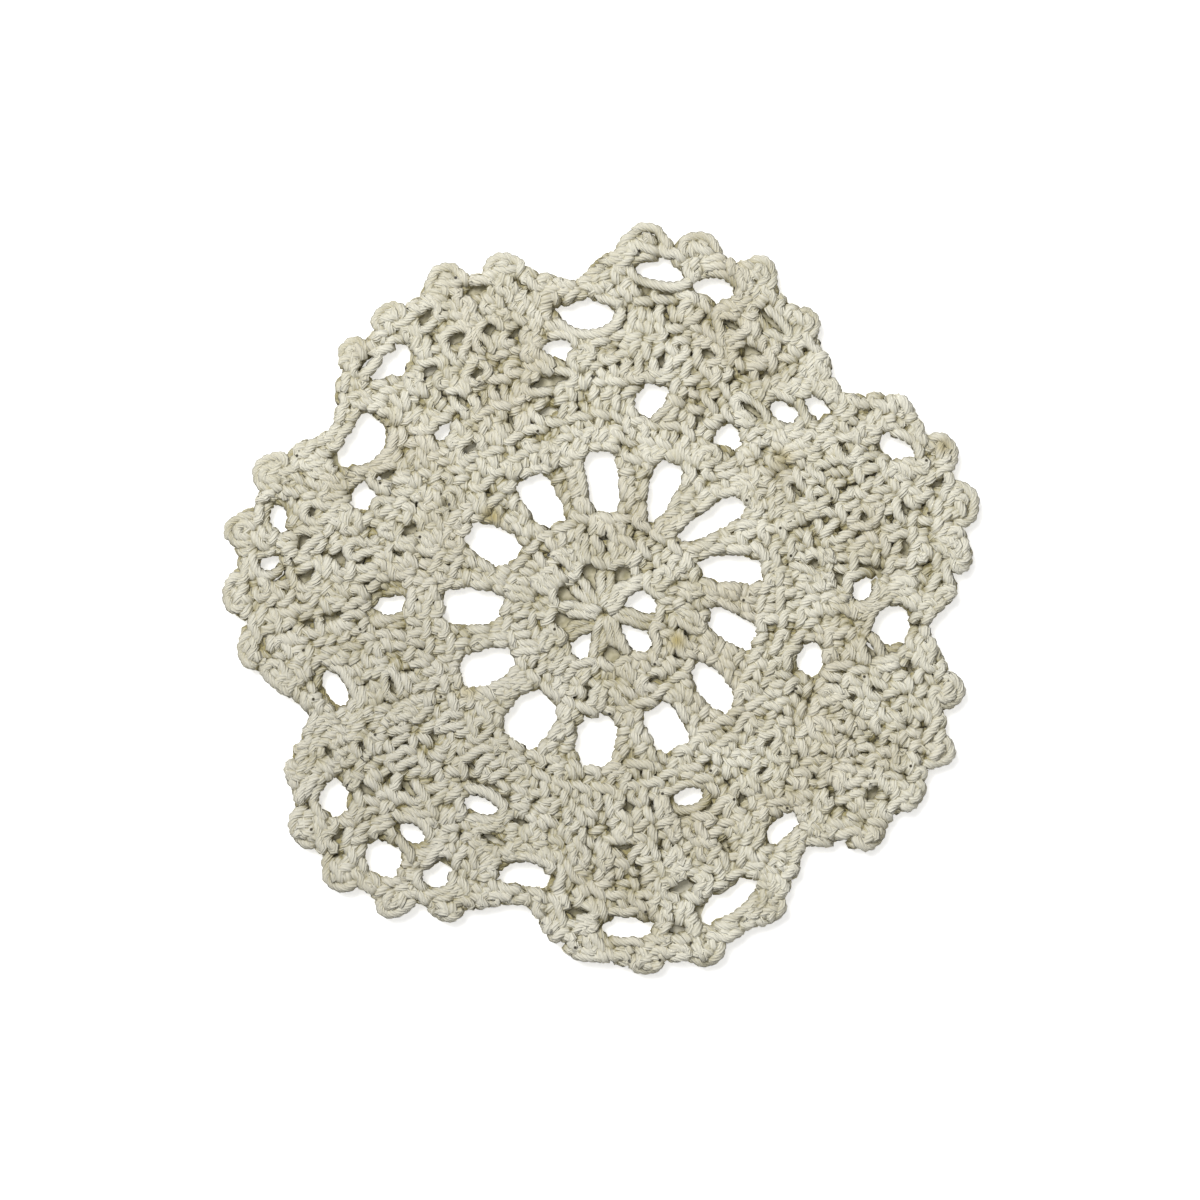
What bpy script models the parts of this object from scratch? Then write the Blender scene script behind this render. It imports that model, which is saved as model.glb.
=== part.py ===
"""A crocheted coaster: one flat mat of cotton crochet worked in rounds, with 13 spokes round a dense
middle, seven uneven lobes and a rim of picots. Run it with blender --background --python part.py."""

import math
from collections import namedtuple

import bmesh
import bpy
from mathutils import Vector

MM = 0.001

# Driving dimensions, in millimetres and degrees. Angles run anticlockwise from +X, seen from above.
YARN = 2.6  # thickness of the cotton yarn
CENTRE = Vector((0.8, -3.6))  # the first round's middle, off the middle of the uneven outline
FIRST_COLUMNS = 24  # columns of faces round the first ring
RIM_MEAN = 94.0  # what a round's follow is measured from
EDGE_ROUND = 1.3  # how far the top and the underside draw in at the rim
EDGE_HEIGHT = 2.3  # height of the rim's widest line
CUT_BELOW = 1.0  # how far the gaps' cutters reach past the underside
FLARE_FROM = 2.0  # the height from which a gap widens to its rounded upper edge
FLARE = 0.7
CORNER_CUT = 0.2  # share of a spoke gap's side that its rounded corner takes
CORNER_REACH = 0.5  # how far its corners stand out, for what the rounding takes off

# The rounds' crests and furrows from the middle out. follow is the share of the lobes' swing that
# the round takes, and split how many columns each column becomes there.
Round = namedtuple("Round", "radius height follow split")
ROUNDS = (
    Round(6.0, 4.6, 0.0, 1),
    Round(12.0, 3.6, 0.0, 3),
    Round(16.5, 4.8, 0.0, 1),
    Round(21.0, 4.0, 0.0, 1),
    Round(25.0, 4.9, 0.0, 1),
    Round(29.0, 3.8, 0.0, 1),
    Round(39.0, 4.2, 0.0, 3),
    Round(45.0, 4.9, 0.0, 1),
    Round(50.0, 4.1, 0.1, 1),
    Round(55.5, 4.8, 0.2, 1),
    Round(61.5, 4.1, 0.35, 1),
    Round(68.0, 4.8, 0.55, 1),
    Round(75.0, 4.1, 0.75, 1),
    Round(82.0, 4.8, 0.9, 1),
    Round(88.0, 4.2, 1.0, 1),
)

# The rim without its picots, one row for each valley and the lobe after it
Lobe = namedtuple("Lobe", "valley_deg valley start_deg start middle end_deg end")
LOBES = (
    Lobe(-2.5, 86.5, 5.0, 95.0, 99.5, 36.0, 96.5),
    Lobe(42.5, 86.5, 53.0, 92.5, 100.0, 88.5, 96.0),
    Lobe(95.0, 88.6, 104.0, 94.0, 97.5, 138.0, 94.5),
    Lobe(145.5, 87.6, 154.0, 94.5, 98.5, 188.5, 93.5),
    Lobe(199.5, 83.0, 205.5, 92.0, 99.5, 238.0, 91.5),
    Lobe(255.0, 81.0, 264.0, 91.5, 95.0, 302.0, 90.0),
    Lobe(311.0, 82.7, 318.0, 92.0, 96.5, 349.5, 93.0),
)

Picot = namedtuple("Picot", "deg tip width_deg")
PICOTS = (
    Picot(9.5, 99.5, 6.0),
    Picot(17.0, 104.2, 6.5),
    Picot(25.0, 103.8, 6.5),
    Picot(34.0, 98.8, 5.0),
    Picot(55.5, 97.8, 6.0),
    Picot(65.5, 104.3, 6.5),
    Picot(75.0, 104.6, 6.5),
    Picot(83.5, 104.3, 8.0),
    Picot(106.3, 99.7, 7.0),
    Picot(115.8, 102.4, 7.0),
    Picot(126.0, 100.9, 6.0),
    Picot(134.0, 99.8, 6.0),
    Picot(157.3, 101.0, 6.5),
    Picot(167.3, 103.6, 6.0),
    Picot(177.0, 101.6, 6.5),
    Picot(186.0, 98.2, 6.5),
    Picot(208.0, 95.5, 5.0),
    Picot(216.0, 102.4, 6.0),
    Picot(224.5, 103.6, 6.0),
    Picot(233.5, 100.3, 5.5),
    Picot(241.5, 93.0, 6.0),
    Picot(267.5, 93.2, 6.5),
    Picot(276.8, 97.1, 5.0),
    Picot(286.5, 98.2, 6.0),
    Picot(298.8, 94.2, 6.5),
    Picot(320.0, 96.0, 5.5),
    Picot(329.3, 98.4, 5.5),
    Picot(337.5, 101.0, 5.5),
    Picot(347.0, 98.8, 5.0),
)

# The gaps between the 13 spokes: where each begins and ends at its inner and at its outer side
SpokeGap = namedtuple("SpokeGap", "inner inner_from inner_to outer outer_from outer_to")
SPOKE_GAPS = (
    SpokeGap(29.4, 17, 30, 42.6, 10, 20),
    SpokeGap(29.4, 38, 47, 46.4, 35, 43),
    SpokeGap(28.8, 60, 67, 42.8, 60, 71),
    SpokeGap(27.8, 81, 96, 42.0, 87, 97),
    SpokeGap(27.8, 112, 126, 40.0, 114, 125),
    SpokeGap(29.4, 139, 157, 41.2, 145, 153),
    SpokeGap(28.8, 169, 185, 42.2, 172, 184),
    SpokeGap(28.3, 198, 213, 40.6, 199, 210),
    SpokeGap(28.6, 225, 246, 40.8, 229, 243),
    SpokeGap(29.3, 257, 277, 40.2, 260, 271),
    SpokeGap(30.0, 289, 305, 40.6, 293, 304),
    SpokeGap(30.4, 321, 334, 41.2, 319, 327),
    SpokeGap(29.0, 351, 364, 39.6, 345, 355),
)

# Every other gap wider than about 4 mm: its place, its size along the round and outwards, and how
# far it is turned from the round's direction, anticlockwise
Gap = namedtuple("Gap", "deg radius along out lean")
EYE_GAPS = (
    Gap(14, 10.8, 4.6, 6.6, -50),
    Gap(63, 11.4, 4.4, 4.0, 0),
    Gap(110, 11.4, 4.4, 4.0, 0),
    Gap(156, 11.6, 4.4, 4.0, 0),
    Gap(192, 11.6, 4.4, 4.0, 0),
    Gap(238, 11.7, 4.4, 4.8, 30),
    Gap(280, 11.6, 4.4, 4.0, 0),
    Gap(321, 12.1, 5.0, 6.8, 0),
)
VALLEY_GAPS = (
    Gap(44, 78.5, 5.5, 3.4, 20),
    Gap(48.5, 71.2, 7.0, 4.2, 0),
    Gap(93, 78.8, 13.0, 7.4, 0),
    Gap(144.7, 77.5, 12.6, 8.6, 0),
    Gap(195.6, 74.4, 10.0, 5.0, 15),
    Gap(252.7, 72.6, 11.0, 5.4, 15),
    Gap(309.3, 74.2, 8.6, 4.8, 0),
    Gap(357.4, 76.0, 10.4, 8.6, -20),
)
ROUND_GAPS = (
    Gap(55, 57.3, 4.8, 4.4, 0),
    Gap(78.5, 57.4, 5.6, 7.0, -30),
    Gap(105.3, 55.4, 7.6, 4.0, 0),
    Gap(129.2, 56.2, 6.0, 4.6, 0),
    Gap(178.2, 56.6, 4.4, 6.4, 25),
    Gap(237.5, 60.8, 9.2, 4.2, 10),
    Gap(294.6, 54.0, 7.0, 4.2, -10),
    Gap(346.8, 54.9, 4.6, 4.0, 0),
)
LACE_GAPS = (
    Gap(4.7, 68.7, 4.2, 5.4, 45),
    Gap(54, 66.4, 8.6, 3.6, 0),
    Gap(100, 71.6, 10.0, 4.8, 0),
    Gap(103.5, 62.8, 12.6, 4.6, 0),
    Gap(131.8, 64.3, 6.0, 4.2, 0),
    Gap(153, 71.5, 4.8, 4.2, 0),
    Gap(118, 71.8, 5.0, 4.0, 0),
    Gap(244, 67.2, 8.6, 4.0, 0),
    Gap(125.8, 78.8, 5.2, 4.2, 0),
    Gap(229.1, 77.6, 6.8, 4.4, 10),
    Gap(286, 75.9, 9.6, 3.6, 0),
    Gap(118.4, 82.6, 6.2, 5.0, 0),
    Gap(237.8, 84.0, 6.8, 3.6, 20),
    Gap(274.1, 84.0, 9.0, 4.6, 0),
    Gap(293.8, 84.0, 13.0, 4.4, 12),
)
RIM_GAPS = (
    Gap(29, 90.4, 7.4, 3.4, 25),
    Gap(70.6, 91.6, 8.0, 4.6, 0),
    Gap(81, 91.6, 12.0, 3.8, 0),
    Gap(111.6, 92.0, 7.4, 4.4, 0),
    Gap(131.6, 87.6, 9.6, 4.6, 0),
    Gap(163.6, 90.2, 6.0, 4.2, 15),
    Gap(172, 90.4, 4.2, 5.4, 0),
    Gap(214.7, 88.0, 7.0, 6.0, 0),
    Gap(228, 88.6, 8.4, 6.4, -24),
    Gap(283, 86.6, 5.6, 4.4, 0),
)
ROUND_CORNERS = 8  # corners of a small gap's outline
FULLNESS = 2.3  # over 2 a small gap's outline is fuller than an ellipse

CREAM_COTTON = (0.60, 0.56, 0.45, 1.0)
COTTON_ROUGHNESS = 0.92


def eased(share):
    """A smooth step from 0 to 1."""
    share = min(max(share, 0.0), 1.0)
    return share * share * (3 - 2 * share)


def rim_radius(deg):
    """The rim's radius at this angle, without its picots."""
    for lobe, following in zip(LOBES, LOBES[1:] + LOBES[:1]):
        turn = (deg - lobe.valley_deg) % 360
        start = lobe.start_deg - lobe.valley_deg
        end = lobe.end_deg - lobe.valley_deg
        whole = (following.valley_deg - lobe.valley_deg) % 360
        if turn >= whole:
            continue
        if turn < start:
            return lobe.valley + (lobe.start - lobe.valley) * eased(turn / start)
        if turn > end:
            return lobe.end + (following.valley - lobe.end) * eased((turn - end) / (whole - end))
        along = (turn - start) / (end - start)
        crown = lobe.middle - (lobe.start + lobe.end) / 2
        return lobe.start + (lobe.end - lobe.start) * along + crown * 4 * along * (1 - along)
    return RIM_MEAN


def outline_radius(deg):
    """The outline's radius at this angle: the rim with a round knob at each picot."""
    rim = rim_radius(deg)
    radius = rim
    for picot in PICOTS:
        away = abs((deg - picot.deg + 180) % 360 - 180) / (picot.width_deg / 2)
        if away < 1:
            radius = max(radius, rim + (picot.tip - rim) * math.sqrt(1 - away * away))
    return radius


def place(vertex, radius, height):
    """Moves a vertex straight out from the middle to this radius and height."""
    outwards = vertex.co.xy.normalized() * radius
    vertex.co = Vector((outwards.x, outwards.y, height))


def degrees_of(vertex):
    return math.degrees(math.atan2(vertex.co.y, vertex.co.x))


def place_on_round(vertex, ring):
    swing = ring.follow * (rim_radius(degrees_of(vertex)) - RIM_MEAN)
    place(vertex, ring.radius + swing, ring.height)


def open_edges(form):
    return [edge for edge in form.edges if edge.is_boundary]


def grown(form):
    """Extrudes the open edge and returns its new vertices, still in their old places."""
    made = bmesh.ops.extrude_edge_only(form, edges=open_edges(form))["geom"]
    return [item for item in made if isinstance(item, bmesh.types.BMVert)]


def crochet_mat():
    """The mat's body, grown outwards round by round, round the middle at the origin."""
    form = bmesh.new()
    first = ROUNDS[0]
    bmesh.ops.create_circle(
        form, cap_ends=True, cap_tris=True, segments=FIRST_COLUMNS, radius=first.radius
    )
    for vertex in form.verts:
        vertex.co.z = first.height - YARN / 4 if vertex.co.xy.length < 1 else first.height
    previous = first
    for ring in ROUNDS[1:]:
        if ring.split > 1:
            split = bmesh.ops.subdivide_edges(form, edges=open_edges(form), cuts=ring.split - 1)
            for item in split["geom_inner"]:
                if isinstance(item, bmesh.types.BMVert):
                    place_on_round(item, previous)
        for vertex in grown(form):
            place_on_round(vertex, ring)
        previous = ring
    edge = ((-EDGE_ROUND, previous.height), (0.0, EDGE_HEIGHT), (-EDGE_ROUND, 0.0))
    for inset, height in edge:
        for vertex in grown(form):
            place(vertex, outline_radius(degrees_of(vertex)) + inset, height)
    bmesh.ops.holes_fill(form, edges=open_edges(form), sides=0)
    bmesh.ops.recalc_face_normals(form, faces=form.faces)
    return form


def polar(deg, radius):
    angle = math.radians(deg)
    return Vector((math.cos(angle), math.sin(angle))) * radius


def spoke_gap_outline(gap):
    """The gap between two spokes: four corners, each cut across to round it."""
    corners = [
        polar(gap.inner_from, gap.inner),
        polar(gap.outer_from, gap.outer),
        polar(gap.outer_to, gap.outer),
        polar(gap.inner_to, gap.inner),
    ]
    middle = sum(corners, Vector((0, 0))) / len(corners)
    corners = [corner + (corner - middle).normalized() * CORNER_REACH for corner in corners]
    outline = []
    for i, corner in enumerate(corners):
        for neighbour in (corners[i - 1], corners[(i + 1) % len(corners)]):
            outline.append(corner.lerp(neighbour, CORNER_CUT))
    return outline


def small_gap_outline(gap):
    """A gap in the lace: a full oval, longer one way, turned by its lean."""
    middle = polar(gap.deg, gap.radius)
    outwards = polar(gap.deg + gap.lean, 1)
    along = polar(gap.deg + gap.lean + 90, 1)
    outline = []
    for i in range(ROUND_CORNERS):
        angle = math.tau * (i + 0.5) / ROUND_CORNERS
        ways = []
        for part, size in ((math.cos(angle), gap.along), (math.sin(angle), gap.out)):
            ways.append(math.copysign(abs(part) ** (2 / FULLNESS), part) * size / 2)
        outline.append(middle + along * ways[0] + outwards * ways[1])
    return outline


def add_cutter(form, outline):
    """Adds one gap's cutter: upright walls, flared above, so that the yarn's edge looks round."""
    made = bmesh.ops.create_circle(form, segments=len(outline), radius=1)
    centre = sum(outline, Vector((0, 0))) / len(outline)
    ring = sorted(made["verts"], key=lambda v: math.atan2(v.co.y, v.co.x))
    outline = sorted(outline, key=lambda p: math.atan2(p.y - centre.y, p.x - centre.x))
    for vertex, point in zip(ring, outline):
        vertex.co = Vector((point.x, point.y, -CUT_BELOW))
    top = max(each.height for each in ROUNDS) + CUT_BELOW
    edges = list({edge for vertex in ring for edge in vertex.link_edges})
    bmesh.ops.contextual_create(form, geom=edges)
    for height, flare in ((FLARE_FROM, 0.0), (top, FLARE)):
        made = bmesh.ops.extrude_edge_only(form, edges=edges)["geom"]
        edges = [item for item in made if isinstance(item, bmesh.types.BMEdge)]
        for vertex in {vertex for edge in edges for vertex in edge.verts}:
            away = (vertex.co.xy - centre).normalized() * flare
            vertex.co = Vector((vertex.co.x + away.x, vertex.co.y + away.y, height))
    bmesh.ops.contextual_create(form, geom=edges)


def gap_cutters():
    """All the gaps' cutters as one mesh of closed prisms."""
    form = bmesh.new()
    for gap in SPOKE_GAPS:
        add_cutter(form, spoke_gap_outline(gap))
    for gap in EYE_GAPS + VALLEY_GAPS + ROUND_GAPS + LACE_GAPS + RIM_GAPS:
        add_cutter(form, small_gap_outline(gap))
    bmesh.ops.recalc_face_normals(form, faces=form.faces)
    return form


def add_object(name, form, material):
    """Moves the form from the first round's middle to its place, in metres, and links it."""
    bmesh.ops.translate(form, verts=form.verts, vec=Vector((CENTRE.x, CENTRE.y, 0)))
    bmesh.ops.scale(form, verts=form.verts, vec=Vector((MM, MM, MM)))
    mesh = bpy.data.meshes.new(name)
    form.to_mesh(mesh)
    form.free()
    mesh.materials.append(material)
    made = bpy.data.objects.new(name, mesh)
    bpy.context.scene.collection.objects.link(made)
    return made


def cotton():
    material = bpy.data.materials.new("cream_cotton")
    material.use_nodes = True
    shader = material.node_tree.nodes["Principled BSDF"]
    shader.inputs["Base Color"].default_value = CREAM_COTTON
    shader.inputs["Roughness"].default_value = COTTON_ROUGHNESS
    shader.inputs["Metallic"].default_value = 0.0
    return material


def main():
    for old in list(bpy.data.objects):
        bpy.data.objects.remove(old)
    material = cotton()
    mat = add_object("crochet_mat", crochet_mat(), material)
    mat.data.shade_smooth()
    mat.data.set_sharp_from_angle(angle=math.radians(50))
    cutters = add_object("gap_cutters", gap_cutters(), material)
    cutters.hide_render = True
    cutters.display_type = "WIRE"
    cut = mat.modifiers.new("gaps", "BOOLEAN")
    cut.operation = "DIFFERENCE"
    cut.solver = "EXACT"
    cut.object = cutters


main()
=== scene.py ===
# %% [markdown]
# A crocheted coaster, made again stitch by stitch in Blender. The real one is a single cotton yarn,
# looped round by round from the middle out. Everything seen on it, the posts, the braided tops of
# the rounds, the gaps and the picots, is that one yarn lying over and under itself. So this lesson
# lays out the yarn's route, lets it settle, and then gives it its twisted plies.

# %% Start: the tools, and the solid mat that the yarn has to fill
import math
from collections import namedtuple

import bmesh
import bpy
import numpy as np
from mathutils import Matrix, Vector


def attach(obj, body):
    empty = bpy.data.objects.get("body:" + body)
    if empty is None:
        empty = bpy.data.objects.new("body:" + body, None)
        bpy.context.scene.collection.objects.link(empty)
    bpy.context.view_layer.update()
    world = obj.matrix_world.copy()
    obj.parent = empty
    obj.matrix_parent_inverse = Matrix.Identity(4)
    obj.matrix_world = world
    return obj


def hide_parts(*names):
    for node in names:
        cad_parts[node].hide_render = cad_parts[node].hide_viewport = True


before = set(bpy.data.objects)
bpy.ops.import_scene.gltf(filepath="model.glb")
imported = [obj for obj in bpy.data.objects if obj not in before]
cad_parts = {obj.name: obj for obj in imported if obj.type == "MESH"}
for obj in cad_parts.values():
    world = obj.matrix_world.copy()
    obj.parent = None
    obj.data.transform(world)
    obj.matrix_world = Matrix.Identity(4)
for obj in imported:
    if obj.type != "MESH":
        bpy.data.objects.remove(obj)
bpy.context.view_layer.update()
chance = np.random.default_rng(11)

# %% [markdown]
# The sizes. All lengths are in millimetres until a mesh is made, and angles run anticlockwise from
# +X as seen from above, round the point where the first round was begun. The tables are the same as
# those of the solid mat, so that the yarn's gaps lie on the solid's gaps.

# %% The yarn's thickness and place
MM = 0.001
YARN = 2.9
HALF_YARN = YARN / 2
MAT_MIDDLE = 3.25
HALF_LIFT = 1.75
CENTRE = np.array([0.8, -3.6])
print("yarn of", YARN, "mm, its middle", MAT_MIDDLE - HALF_LIFT, "to", MAT_MIDDLE + HALF_LIFT, "mm high")

# %% [markdown]
# The outline. The real mat has seven uneven lobes, and a picot stands on its rim every few
# stitches. A row of the first table is one lobe: the angle and radius of the valley before it, of
# its start and of its end, and the radius of its middle. A picot is a round knob on that line.

# %% The mat's outline
RIM_MEAN = 94.0
Lobe = namedtuple("Lobe", "valley_deg valley start_deg start middle end_deg end")
LOBES = (
    Lobe(-2.5, 86.5, 5.0, 95.0, 99.5, 36.0, 96.5),
    Lobe(42.5, 86.5, 53.0, 92.5, 100.0, 88.5, 96.0),
    Lobe(95.0, 88.6, 104.0, 94.0, 97.5, 138.0, 94.5),
    Lobe(145.5, 87.6, 154.0, 94.5, 98.5, 188.5, 93.5),
    Lobe(199.5, 83.0, 205.5, 92.0, 99.5, 238.0, 91.5),
    Lobe(255.0, 81.0, 264.0, 91.5, 95.0, 302.0, 90.0),
    Lobe(311.0, 82.7, 318.0, 92.0, 96.5, 349.5, 93.0),
)
Picot = namedtuple("Picot", "deg tip width_deg")
PICOTS = (
    Picot(9.5, 99.5, 6.0),
    Picot(17.0, 104.2, 6.5),
    Picot(25.0, 103.8, 6.5),
    Picot(34.0, 98.8, 5.0),
    Picot(55.5, 97.8, 6.0),
    Picot(65.5, 104.3, 6.5),
    Picot(75.0, 104.6, 6.5),
    Picot(83.5, 104.3, 8.0),
    Picot(106.3, 99.7, 7.0),
    Picot(115.8, 102.4, 7.0),
    Picot(126.0, 100.9, 6.0),
    Picot(134.0, 99.8, 6.0),
    Picot(157.3, 101.0, 6.5),
    Picot(167.3, 103.6, 6.0),
    Picot(177.0, 101.6, 6.5),
    Picot(186.0, 98.2, 6.5),
    Picot(208.0, 95.5, 5.0),
    Picot(216.0, 102.4, 6.0),
    Picot(224.5, 103.6, 6.0),
    Picot(233.5, 100.3, 5.5),
    Picot(241.5, 93.0, 6.0),
    Picot(267.5, 93.2, 6.5),
    Picot(276.8, 97.1, 5.0),
    Picot(286.5, 98.2, 6.0),
    Picot(298.8, 94.2, 6.5),
    Picot(320.0, 96.0, 5.5),
    Picot(329.3, 98.4, 5.5),
    Picot(337.5, 101.0, 5.5),
    Picot(347.0, 98.8, 5.0),
)


def eased(share):
    share = min(max(share, 0.0), 1.0)
    return share * share * (3 - 2 * share)


def turn_between(first, second):
    """How many degrees lie between two angles, the shorter way round."""
    return abs((first - second + 180) % 360 - 180)


def rim_at(deg):
    """The rim's radius at this angle, without its picots."""
    for lobe, following in zip(LOBES, LOBES[1:] + LOBES[:1]):
        turn = (deg - lobe.valley_deg) % 360
        start = lobe.start_deg - lobe.valley_deg
        end = lobe.end_deg - lobe.valley_deg
        whole = (following.valley_deg - lobe.valley_deg) % 360
        if turn >= whole:
            continue
        if turn < start:
            return lobe.valley + (lobe.start - lobe.valley) * eased(turn / start)
        if turn > end:
            return lobe.end + (following.valley - lobe.end) * eased((turn - end) / (whole - end))
        along = (turn - start) / (end - start)
        crown = lobe.middle - (lobe.start + lobe.end) / 2
        return lobe.start + (lobe.end - lobe.start) * along + crown * 4 * along * (1 - along)
    return RIM_MEAN


def outline_at(deg):
    """The outline's radius: the rim with a round knob at each picot."""
    rim = rim_at(deg)
    radius = rim
    for picot in PICOTS:
        away = turn_between(deg, picot.deg) / (picot.width_deg / 2)
        if away < 1:
            radius = max(radius, rim + (picot.tip - rim) * math.sqrt(1 - away * away))
    return radius


def all_round(deg, radii):
    """One of the two tables of radii below, read at any angle."""
    return np.interp(deg, ALL_ROUND, radii, period=360)


ALL_ROUND = np.arange(0, 360, 0.5)
RIM = np.array([rim_at(deg) for deg in ALL_ROUND])
OUTLINE = np.array([outline_at(deg) for deg in ALL_ROUND])
print("the rim runs from", RIM.min(), "to", OUTLINE.max(), "mm from the first round's middle")

# %% [markdown]
# The gaps are what makes it lace. There are 8 small eyes in the first round, 13 long gaps between
# the spokes, and a scatter of gaps where a chain was worked instead of a post. A gap between the
# spokes has four corners. Every other gap is an oval at an angle and a radius, with its width
# along the round, its width out from the middle, and its lean in degrees.

# %% The gaps
SpokeGap = namedtuple("SpokeGap", "inner inner_from inner_to outer outer_from outer_to")
SPOKE_GAPS = (
    SpokeGap(29.4, 17, 30, 42.6, 10, 20),
    SpokeGap(29.4, 38, 47, 46.4, 35, 43),
    SpokeGap(28.8, 60, 67, 42.8, 60, 71),
    SpokeGap(27.8, 81, 96, 42.0, 87, 97),
    SpokeGap(27.8, 112, 126, 40.0, 114, 125),
    SpokeGap(29.4, 139, 157, 41.2, 145, 153),
    SpokeGap(28.8, 169, 185, 42.2, 172, 184),
    SpokeGap(28.3, 198, 213, 40.6, 199, 210),
    SpokeGap(28.6, 225, 246, 40.8, 229, 243),
    SpokeGap(29.3, 257, 277, 40.2, 260, 271),
    SpokeGap(30.0, 289, 305, 40.6, 293, 304),
    SpokeGap(30.4, 321, 334, 41.2, 319, 327),
    SpokeGap(29.0, 351, 364, 39.6, 345, 355),
)
Gap = namedtuple("Gap", "deg radius along out lean")
EYE_GAPS = (
    Gap(14, 10.8, 4.6, 6.6, -50),
    Gap(63, 11.4, 4.4, 4.0, 0),
    Gap(110, 11.4, 4.4, 4.0, 0),
    Gap(156, 11.6, 4.4, 4.0, 0),
    Gap(192, 11.6, 4.4, 4.0, 0),
    Gap(238, 11.7, 4.4, 4.8, 30),
    Gap(280, 11.6, 4.4, 4.0, 0),
    Gap(321, 12.1, 5.0, 6.8, 0),
)
VALLEY_GAPS = (
    Gap(44, 78.5, 5.5, 3.4, 20),
    Gap(48.5, 71.2, 7.0, 4.2, 0),
    Gap(93, 78.8, 13.0, 7.4, 0),
    Gap(144.7, 77.5, 12.6, 8.6, 0),
    Gap(195.6, 74.4, 10.0, 5.0, 15),
    Gap(252.7, 72.6, 11.0, 5.4, 15),
    Gap(309.3, 74.2, 8.6, 4.8, 0),
    Gap(357.4, 76.0, 10.4, 8.6, -20),
)
ROUND_GAPS = (
    Gap(55, 57.3, 4.8, 4.4, 0),
    Gap(78.5, 57.4, 5.6, 7.0, -30),
    Gap(105.3, 55.4, 7.6, 4.0, 0),
    Gap(129.2, 56.2, 6.0, 4.6, 0),
    Gap(178.2, 56.6, 4.4, 6.4, 25),
    Gap(237.5, 60.8, 9.2, 4.2, 10),
    Gap(294.6, 54.0, 7.0, 4.2, -10),
    Gap(346.8, 54.9, 4.6, 4.0, 0),
)
LACE_GAPS = (
    Gap(4.7, 68.7, 4.2, 5.4, 45),
    Gap(54, 66.4, 8.6, 3.6, 0),
    Gap(100, 71.6, 10.0, 4.8, 0),
    Gap(103.5, 62.8, 12.6, 4.6, 0),
    Gap(131.8, 64.3, 6.0, 4.2, 0),
    Gap(153, 71.5, 4.8, 4.2, 0),
    Gap(118, 71.8, 5.0, 4.0, 0),
    Gap(244, 67.2, 8.6, 4.0, 0),
    Gap(125.8, 78.8, 5.2, 4.2, 0),
    Gap(229.1, 77.6, 6.8, 4.4, 10),
    Gap(286, 75.9, 9.6, 3.6, 0),
    Gap(118.4, 82.6, 6.2, 5.0, 0),
    Gap(237.8, 84.0, 6.8, 3.6, 20),
    Gap(274.1, 84.0, 9.0, 4.6, 0),
    Gap(293.8, 84.0, 13.0, 4.4, 12),
)
RIM_GAPS = (
    Gap(29, 90.4, 7.4, 3.4, 25),
    Gap(70.6, 91.6, 8.0, 4.6, 0),
    Gap(81, 91.6, 12.0, 3.8, 0),
    Gap(111.6, 92.0, 7.4, 4.4, 0),
    Gap(131.6, 87.6, 9.6, 4.6, 0),
    Gap(163.6, 90.2, 6.0, 4.2, 15),
    Gap(172, 90.4, 4.2, 5.4, 0),
    Gap(214.7, 88.0, 7.0, 6.0, 0),
    Gap(228, 88.6, 8.4, 6.4, -24),
    Gap(283, 86.6, 5.6, 4.4, 0),
)
SMALL_GAPS = EYE_GAPS + VALLEY_GAPS + ROUND_GAPS + LACE_GAPS + RIM_GAPS
print(len(SPOKE_GAPS), "gaps between the spokes and", len(SMALL_GAPS), "small ones")

# %% [markdown]
# Not every gap lets the table through. In the photo some are closed by the cotton lower down, dark or
# pale, and many smaller hollows never go through at all. The strands are moved aside there too, and the
# bottom is left to a hidden layer of cotton, made near the end. A gap is named here by its angle in the
# tables above, and the hollows' places are read off the photo.

# %% The closed gaps and the hollows
DARK_DEGS = (63, 110, 156, 192, 280, 54, 103.5, 118, 118.4, 111.6)
PALE_DEGS = (105.3, 129.2, 125.8, 244, 286, 283)
NARROW_DEGS = (131.8, 100, 172)
NARROWING = 0.7
SLIT_SHARE = 0.72
DISC_HOLLOWS = (
    Gap(91, 19.5, 3.0, 2.5, 0),
    Gap(258, 20.5, 3.5, 2.5, 0),
    Gap(306, 22.0, 4.5, 2.5, 0),
)
INNER_HOLLOWS = (
    Gap(13, 57.5, 4.0, 4.0, 0),
    Gap(32, 60.5, 6.0, 3.0, 10),
    Gap(64, 57.5, 3.5, 3.5, 0),
    Gap(116, 56.5, 3.0, 4.5, 0),
    Gap(157, 56.0, 6.0, 4.0, -25),
    Gap(164, 57.0, 3.0, 4.0, 0),
    Gap(199, 59.5, 6.0, 3.0, 0),
    Gap(216, 56.0, 4.0, 3.5, 0),
    Gap(229, 54.0, 4.0, 3.5, 0),
    Gap(248, 60.0, 6.0, 3.0, 15),
    Gap(277, 52.5, 5.0, 3.5, 0),
    Gap(284, 53.5, 3.0, 4.5, 0),
    Gap(306, 62.0, 5.0, 3.0, 20),
    Gap(315, 59.5, 4.0, 3.0, 0),
    Gap(322, 56.0, 5.0, 3.0, 0),
)
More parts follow.
